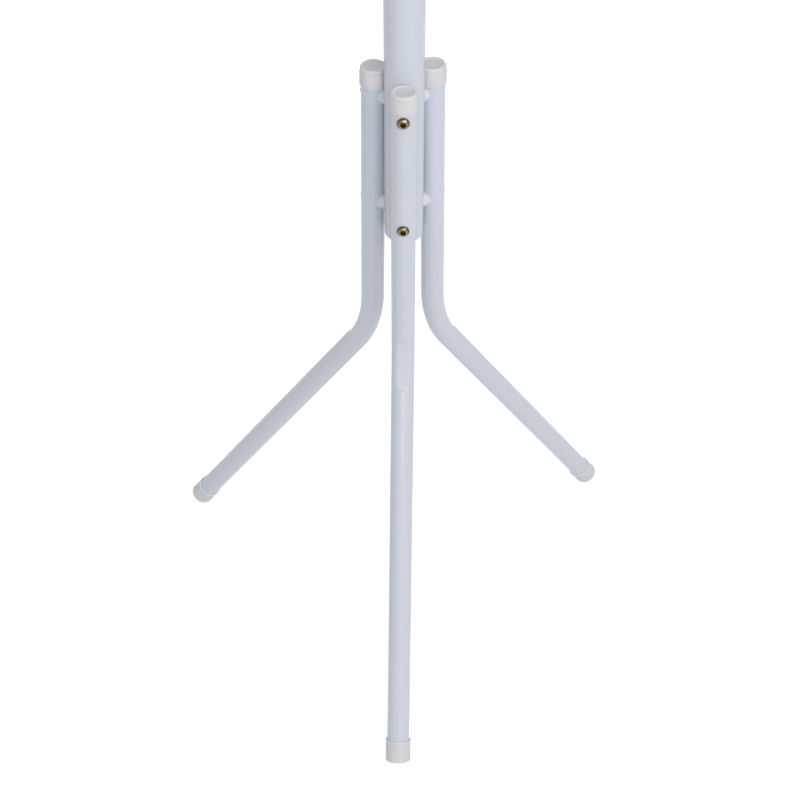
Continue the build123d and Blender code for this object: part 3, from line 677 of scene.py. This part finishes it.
# %% [markdown]
# ## Leg caps
# The top cap is a push-on cup. Its top is a little slimmer than its skirt, with a small ledge between,
# and has a low ring round a shallow dish. Where it meets the mast its wall is cut away to the mast's
# own curve. The foot cap is thicker, with crisp corners and a thin lip at its mouth, and it stands on
# the floor with a small worn flat.

# %% Make the caps
top_cap_radius = 11.1 * MM
foot_cap_mouth = -19.5 * MM    # height of the open end, seen from the floor end
# height of the band at the mouth that gets the painted highlight
lip_highlight_band = 0.6 * MM


def leaning(azimuth, lean):
    """Direction that leans outwards from straight up by so much."""
    return polar(azimuth, math.sin(lean), math.cos(lean))


def top_cap_outline():
    """From the floor of the bore, round the skirt, over ledge and shoulder, and into the dish."""
    bore, head = 10.05 * MM, 10.6 * MM
    skirt, ledge, crown = -13.05 * MM, -1.8 * MM, 3.0 * MM    # heights from the end of the tube
    skirt_edge, ledge_edge, shoulder, ring_edge = 0.3 * MM, 0.25 * MM, 1.9 * MM, 0.8 * MM
    ring, slope_end, floor = 2.1 * MM, 4.2 * MM, 4.0 * MM     # ring and slope in from the head
    dish = 1.0 * MM
    points = [(bore, 0.0), (bore, skirt)]
    points += corner((top_cap_radius - skirt_edge, skirt + skirt_edge), skirt_edge, -110, 0)
    points += corner((top_cap_radius - ledge_edge, ledge - 0.1 * MM), ledge_edge, 0, 80)
    points += [(head + 0.02 * MM, ledge + 0.25 * MM), (head, ledge + 0.6 * MM)]
    points += corner((head - shoulder, crown - shoulder), shoulder, 0, 90)
    points += corner((head - ring, crown - ring_edge), ring_edge, 90, 130)
    points += [(head - 3.3 * MM, crown - 0.55 * MM), (head - slope_end, crown - 0.8 * MM),
               (floor, crown - 0.95 * MM), (0.0, crown - dish)]
    return [(0.0, 0.0)] + points


def foot_cap_outline():
    """From the floor of the bore to the mouth, which grips the tube, and over a waist to the end."""
    bore, grip, outside = 10.15 * MM, leg_radius + 0.02 * MM, foot_cap_radius
    mouth, mouth_edge, end_edge = foot_cap_mouth, 0.3 * MM, 0.8 * MM
    waist = outside - 0.15 * MM
    points = [(0.0, -foot_cap_end), (bore, -foot_cap_end), (bore, mouth + 1.2 * MM),
              (grip, mouth + 0.8 * MM), (grip, mouth + mouth_edge)]
    points += corner((outside - mouth_edge, mouth + mouth_edge), mouth_edge, -120, 0)
    points += [(outside, mouth + 1.0 * MM), (waist, mouth + 1.6 * MM),
               (waist, -2.4 * MM), (outside, -1.8 * MM)]
    points += corner((outside - end_edge, -end_edge), end_edge, 0, 90)
    return points + [(0.0, 0.0)]


for side, azimuth in leg_azimuths.items():
    top = upright(polar(azimuth, leg_out(leg_top), leg_top), leaning(azimuth, -leg_splay))
    cap = turned(f"leg_cap_{side}_moulded", top_cap_outline(), top, steps=96)
    # `reach` places the cap's painted shade over the bore, inside the rim.
    note_reach(cap, top, top_cap_radius)
    for vertex in cap.vertices:
        vertex.co.xy *= max(1.0, (mast_radius + seat_gap / 2) / vertex.co.xy.length)
    piece(cap.name, cap, cap_plastic, "base", [f"leg_cap_{side}"])

    down = leaning(azimuth, math.pi - leg_spread)
    tip = polar(azimuth, leg_out(bend_height), bend_height) + lower_leg_length * down
    foot_place = upright(tip, down)
    foot = turned(f"foot_cap_{side}_moulded", foot_cap_outline(), foot_place, steps=96)
    # The lip band is marked with reach 2, for the foot plastic's painted highlight.
    note_reach(foot, foot_place, foot_cap_radius, lip=foot_cap_mouth + lip_highlight_band)
    for vertex in foot.vertices:
        vertex.co.z = max(vertex.co.z, 0.0)
    piece(foot.name, foot, foot_plastic, "base", [f"foot_cap_{side}"])
print("capped", len(leg_azimuths), "legs at both ends")

# %% [markdown]
# ## Bolts
# The front leg has button heads and the other two have countersunk heads, let in flush. A head is an
# outline turned about the bolt, with a hexagon socket sunk in it: rings of points run over the head
# and inwards, and those in the socket follow a hexagon instead of a circle. Bolts of a kind are
# alike, so one is made and a node tree puts it on its points. No two are tightened to the same angle,
# so each gets a random twist from a fixed seed.

# %% Make the two kinds of bolt and set them on their points
shank_radius, shank_end = 3.0 * MM, -14.0 * MM
sunk_depth = 0.6 * MM    # of a countersunk head, below the outermost line of the leg
most_twist = math.radians(60)


def hexagon(across_flats, turn):
    """Distance from the centre to a hexagon's side, in a direction."""
    return across_flats / 2 / math.cos((turn + math.pi / 6) % (math.pi / 3) - math.pi / 6)


def bolt_mesh(name, outline, top):
    """A bolt with an outline of (radius, height) from shank to head, and a socket in its flat top."""
    flats, depth, lip, steps = 4.0 * MM, 1.8 * MM, 0.15 * MM, 72
    cone, tip = 0.4 * MM, 0.5 * MM
    across_corners = hexagon(flats, math.pi / 6)
    outer = outline + [(across_corners + 2 * lip, top), (across_corners + lip, top - 0.3 * lip)]
    turns = [2 * math.pi * step / steps for step in range(steps)]
    rings = [[(r * math.cos(t), r * math.sin(t), z) for t in turns] for r, z in outer]
    chamfer, wall, foot = (1.02, top - 1.5 * lip), (1.0, top - 3 * lip), (1.0, top - depth)
    for grow, z in (chamfer, wall, foot, (0.5, top - depth - cone)):
        sides = [grow * hexagon(flats, t) for t in turns]
        rings.append([(r * math.cos(t), r * math.sin(t), z) for r, t in zip(sides, turns)])
    work = bmesh.new()
    rows = [[work.verts.new(point) for point in ring] for ring in rings]
    for low, high in zip(rows, rows[1:]):
        for i in range(steps):
            work.faces.new((low[i], low[(i + 1) % steps], high[(i + 1) % steps], high[i]))
    for row, z in ((rows[0], outline[0][1] - tip), (rows[-1], top - depth - tip)):
        middle = work.verts.new((0, 0, z))
        for i in range(steps):
            work.faces.new((row[i], row[(i + 1) % steps], middle))
    bmesh.ops.recalc_face_normals(work, faces=work.faces)
    mesh = bpy.data.meshes.new(name)
    work.to_mesh(mesh)
    work.free()
    # `reach` places the plating's painted shade and grime in the socket and at the rim.
    note_reach(mesh, Matrix(), max(radius for radius, _ in outline))
    return smooth(mesh, 32.0)


def button_head():
    """A head with a short straight edge and a dome cut from a ball, down to its flat top."""
    radius, height, flat = 5.05 * MM, 2.6 * MM, 2.65 * MM
    edge, ball, steps = 0.4 * MM, 6.0 * MM, 12
    radii = [radius + (flat - radius) * step / steps for step in range(steps + 1)]
    ball_foot = math.sqrt(ball ** 2 - radius ** 2)
    dome = [(r, edge + math.sqrt(ball ** 2 - r ** 2) - ball_foot) for r in radii]
    outline = [(shank_radius, shank_end), (shank_radius, 0.0),
               (radius - 0.2 * MM, 0.0), (radius, 0.15 * MM)]
    return bolt_mesh("button_bolt", outline + dome, height)


def sunk_head():
    """A cone of 90 degrees under a flat top with a rounded edge."""
    radius, edge = 4.5 * MM, 0.2 * MM
    outline = [(shank_radius, shank_end), (shank_radius, shank_radius - radius),
               (radius - 0.1 * MM, -0.1 * MM)]
    return bolt_mesh("sunk_bolt", outline + corner((radius - edge, -edge), edge, 0, 90), 0.0)


def scatter_tree():
    """Puts an item on every point, its Z along the point's own direction, with a random twist."""
    tree, given = new_tree("item_on_points", [
        ("Item", "Object", None), ("Most Twist", "Float", 0.0), ("Seed", "Int", 7),
        ("Finish", "Material", yellow_zinc)])
    item = add_node(tree, "GeometryNodeObjectInfo", sockets={"Object": given["Item"]})
    facing = add_node(tree, "GeometryNodeInputNamedAttribute", {"data_type": "FLOAT_VECTOR"},
                      {"Name": "facing"})
    aligned = add_node(tree, "FunctionNodeAlignRotationToVector", {"axis": "Z"},
                       {"Vector": facing.outputs["Attribute"]})
    placed = add_node(tree, "GeometryNodeInstanceOnPoints",
                      sockets={"Points": given["Geometry"], "Instance": item.outputs["Geometry"],
                               "Rotation": aligned.outputs["Rotation"]})
    twist = add_node(tree, "FunctionNodeRandomValue", {"data_type": "FLOAT"}, {"Seed": given["Seed"]})
    tree.links.new(given["Most Twist"], twist.inputs[3])
    about_z = add_node(tree, "ShaderNodeCombineXYZ", sockets={"Z": twist.outputs[1]})
    turn = add_node(tree, "FunctionNodeEulerToRotation", sockets={"Euler": about_z.outputs["Vector"]})
    turned_items = add_node(tree, "GeometryNodeRotateInstances", sockets={
        "Instances": placed.outputs["Instances"], "Rotation": turn.outputs["Rotation"]})
    close_tree(tree, turned_items.outputs["Instances"], given["Finish"])
    return tree


def scattered(name, item_mesh, places, twist, finish):
    """A plain mesh of the item at every (position, direction)."""
    points = bpy.data.meshes.new("places")
    points.from_pydata([position for position, _ in places], [], [])
    facing = points.attributes.new("facing", "FLOAT_VECTOR", "POINT")
    for entry, (_, direction) in zip(facing.data, places):
        entry.vector = direction
    item = bpy.data.objects.new("item", item_mesh)
    bpy.context.scene.collection.objects.link(item)
    mesh = run_tree(item_on_points, points, {"Item": item, "Most Twist": twist, "Finish": finish}, name)
    bpy.data.objects.remove(item)
    return mesh


def bolt_points(sides, out):
    """Where the heads sit, that far out from the centre line of their leg, and how they face."""
    return [(polar(leg_azimuths[side], leg_out(height) + out, height), polar(leg_azimuths[side], 1, 0))
            for side in sides for height in bolt_heights]


item_on_points = scatter_tree()
button_places = bolt_points(["front"], leg_radius + seat_gap)
sunk_places = bolt_points(["right", "left"], leg_radius - sunk_depth)
button_bolts = scattered("button_bolts", button_head(), button_places, most_twist, yellow_zinc)
sunk_bolts = scattered("sunk_bolts", sunk_head(), sunk_places, most_twist, yellow_zinc)
piece("leg_bolts_button", smooth(button_bolts, 32.0), yellow_zinc, "base", ["leg_bolts"])
piece("leg_bolts_sunk", smooth(sunk_bolts, 32.0), yellow_zinc, "base", ["leg_bolts"])
print("bolts with", len(button_bolts.polygons), "and", len(sunk_bolts.polygons), "faces")

# %% [markdown]
# ## Arms
# An arm is a straight tube with a moulded tongue at its root and a domed plug at its tip. Clips with
# an eye on top sit along it for the line. All the clips of an arm are one moulding repeated, so one is
# cut from the CAD node, its edges are rounded, and the same node tree spaces it along the tube.

# %% Make the arm tubes and their line clips
hub_reach = 34.0 * MM        # pivots of the runner, from the mast's axis
arm_lean = math.radians(68.0)
arm_length = 600.0 * MM
strut_reach = 300.0 * MM     # from an arm's root to the stay that holds it
arm_radius = 8.0 * MM
arm_wall = 1.0 * MM
arm_tube_start = 18.0 * MM
clip_width = 8.0 * MM
line_count = 5
line_from_tip = 18.0 * MM
line_from_stay = 48.0 * MM
line_pitch = (arm_length - strut_reach - line_from_tip - line_from_stay) / (line_count - 1)
runner_low, runner_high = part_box("runner_pins")
runner_height = (runner_low.z + runner_high.z) / 2
arm_azimuths = [math.radians(45 + 90 * quarter) for quarter in range(4)]
arm_outline = tube_outline(arm_radius, arm_wall, arm_tube_start, arm_length)

for number, azimuth in enumerate(arm_azimuths, start=1):
    root = polar(azimuth, hub_reach, runner_height)
    along = leaning(azimuth, arm_lean)
    tube = turned(f"arm_{number}_coated", arm_outline, upright(root, along), steps=64)
    piece(tube.name, tube, white_coat, f"arm_{number}", [f"arm_{number}_tube"])

    tip_clip = root + (arm_length - line_from_tip) * along
    clip = merged(f"arm_{number}_line_clips",
                  keep=lambda co: abs((co - tip_clip).dot(along)) < clip_width, shift=-tip_clip)
    clip = rounded(clip, "clip", 0.3 * MM, segments=2)
    places = [(tip_clip - index * line_pitch * along, (0, 0, 1)) for index in range(line_count)]
    clips = scattered(f"arm_{number}_clips", clip, places, 0.0, clip_plastic)
    piece(clips.name, smooth(clips, 40.0), clip_plastic, f"arm_{number}",
          [f"arm_{number}_line_clips"])
print(len(arm_azimuths), "arms with", line_count, "clips each")

# %% [markdown]
# ## Mouldings, pressings and rivets
# The rest keeps its CAD form. Each is merged and its edges are rounded by what its maker's process
# leaves: half a millimetre on a moulding, a quarter on pressed sheet, and a soft dome on a rivet head.

# %% Round the edges of the CAD's own forms
def finished(node, material, edge):
    """A piece in the form of its node, with its edges rounded."""
    home = frame["nodes"][node]["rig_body"]
    mesh = rounded(merged(node), f"{node}_finished", edge)
    return piece(mesh.name, mesh, material, home, [node])


arms = [f"arm_{number}" for number in range(1, 5)]
batches = [
    (hub_nylon, "hub_plastic", 0.5 * MM, ["crown", "crown_cap", "runner", "mast_bush", "mast_pivot_plug",
                                          "mast_end_plug"] + [arm + "_root" for arm in arms]),
    (hub_nylon, "hub_plastic", 0.4 * MM, [arm + "_tip" for arm in arms]),
    (spacer_nylon, "spacer_nylon", 0.35 * MM, ["leg_spacers"]),
    (white_coat, "powder_coat", 0.25 * MM, [f"stay_{number}" for number in range(1, 5)]),
    (bright_zinc, "bright_zinc", 0.5 * MM, ["crown_rivet", "crown_pins", "runner_pins", "mast_stop_pin",
                                            "lock_pin"] + [arm + "_rivet" for arm in arms]),
    (lever_nylon, "lever_plastic", 0.6 * MM, ["lock_lever"]),
    (shoe_rubber, "shoe_rubber", 0.4 * MM, ["lock_shoe"]),
]
for material, slot, edge, nodes in batches:
    made = [finished(node, material, edge) for node in nodes]
    print(slot, [len(one.data.polygons) for one in made])

# The rivet nuts are out of sight in the mast's wall, so they stay as the CAD has them.
nuts = frame["nodes"]["leg_rivet_nuts"]
nuts.data.materials.clear()
nuts.data.materials.append(bright_zinc)

# %% [markdown]
# ## Where it stands
# A clothesline stands out of doors under a wide sky. So the world lights it from all sides, a little
# more from the left, and one broad lamp gives the tubes their long soft highlights. The floor is pale
# and keeps the shadow under the feet. Sky and floor are white to the eye only: a light path decides
# what a ray sees, so neither has to be as strong a lamp as it looks.

# %% Floor, sky, lamp and camera
white = (1.0, 1.0, 1.0, 1.0)
sky_colour, sky_level, sky_drift = (0.955, 0.97, 1.0, 1.0), 0.465, 0.07
floor_colour, floor_size, floor_glow = (0.80, 0.80, 0.80, 1.0), 14.0, 0.635
floor_drop = 0.5 * MM        # just under the feet, so that no two faces share a plane
lamp_place, lamp_target = (0.90, -2.05, 2.12), (0.0, 0.0, 0.55)
lamp_size, lamp_power = (3.0, 1.3), 46.0
camera_place, camera_lens = (-0.00787, -1.09304, 1.23512), 72.967
camera_down, camera_aside = 42.605, -0.2366    # degrees


def seen_directly(tree):
    """1 for rays that come from the camera, off a glossy face or through a clear one; else 0."""
    path = add_node(tree, "ShaderNodeLightPath").outputs
    either = math_node(tree, "MAXIMUM", path["Is Camera Ray"], path["Is Glossy Ray"])
    return math_node(tree, "MAXIMUM", either, path["Is Transmission Ray"])


def make_world(colour, level, drift):
    """A sky that looks white and lights a little more strongly from the left."""
    world = bpy.data.worlds.new("white_sky")
    bpy.context.scene.world = world
    world.use_nodes = True
    tree = world.node_tree
    tree.nodes.clear()
    way = add_node(tree, "ShaderNodeTexCoord").outputs["Generated"]
    rightward = add_node(tree, "ShaderNodeSeparateXYZ", sockets={"Vector": way}).outputs["X"]
    strength = math_node(tree, "MULTIPLY_ADD", rightward, -drift, level)
    lit = add_node(tree, "ShaderNodeBackground", sockets={"Color": colour, "Strength": strength})
    seen = add_node(tree, "ShaderNodeBackground", sockets={"Color": white, "Strength": 1.0})
    either = add_node(tree, "ShaderNodeMixShader", sockets={
        0: seen_directly(tree), 1: lit.outputs["Background"], 2: seen.outputs["Background"]})
    add_node(tree, "ShaderNodeOutputWorld", sockets={"Surface": either.outputs["Shader"]})
    return world


def make_floor(size, glow):
    """A matt floor with a glow that only a direct look sees."""
    mesh = bpy.data.meshes.new("floor")
    half = size / 2
    mesh.from_pydata([(-half, -half, 0), (half, -half, 0), (half, half, 0), (-half, half, 0)], [],
                     [(0, 1, 2, 3)])
    floor = bpy.data.objects.new("floor", mesh)
    floor.location.z = -floor_drop
    bpy.context.scene.collection.objects.link(floor)
    material = bpy.data.materials.new("floor")
    material.use_nodes = True
    material.cycles.emission_sampling = "NONE"    # the glow lights nothing, so it is no lamp
    tree = material.node_tree
    tree.nodes.clear()
    strength = math_node(tree, "MULTIPLY", seen_directly(tree), glow)
    matte = add_node(tree, "ShaderNodeBsdfDiffuse", sockets={"Color": floor_colour})
    light = add_node(tree, "ShaderNodeEmission", sockets={"Color": white, "Strength": strength})
    both = add_node(tree, "ShaderNodeAddShader", sockets={
        0: matte.outputs["BSDF"], 1: light.outputs["Emission"]})
    add_node(tree, "ShaderNodeOutputMaterial", sockets={"Surface": both.outputs["Shader"]})
    mesh.materials.append(material)
    return floor


def area_lamp(name, place, target, size, power):
    """A rectangular lamp that faces its target."""
    data = bpy.data.lights.new(name, "AREA")
    data.shape = "RECTANGLE"
    data.size, data.size_y = size
    data.energy = power
    lamp = bpy.data.objects.new(name, data)
    lamp.location = place
    lamp.rotation_euler = (Vector(target) - Vector(place)).to_track_quat("-Z", "Y").to_euler()
    bpy.context.scene.collection.objects.link(lamp)
    return lamp


scene = bpy.context.scene
scene.view_settings.view_transform = "Standard"
sky = make_world(sky_colour, sky_level, sky_drift)
floor = make_floor(floor_size, floor_glow)
lamp = area_lamp("broad_front", lamp_place, lamp_target, lamp_size, lamp_power)

camera_data = bpy.data.cameras.new("camera")
camera_data.sensor_width = 36.0
camera_data.lens = camera_lens
camera = bpy.data.objects.new("camera", camera_data)
camera.location = camera_place
camera.rotation_euler = (math.radians(90 - camera_down), 0.0, math.radians(camera_aside))
scene.collection.objects.link(camera)
scene.camera = camera
print("set", sky.name, floor.name, lamp.name, "and a camera that looks", camera_down, "degrees down")
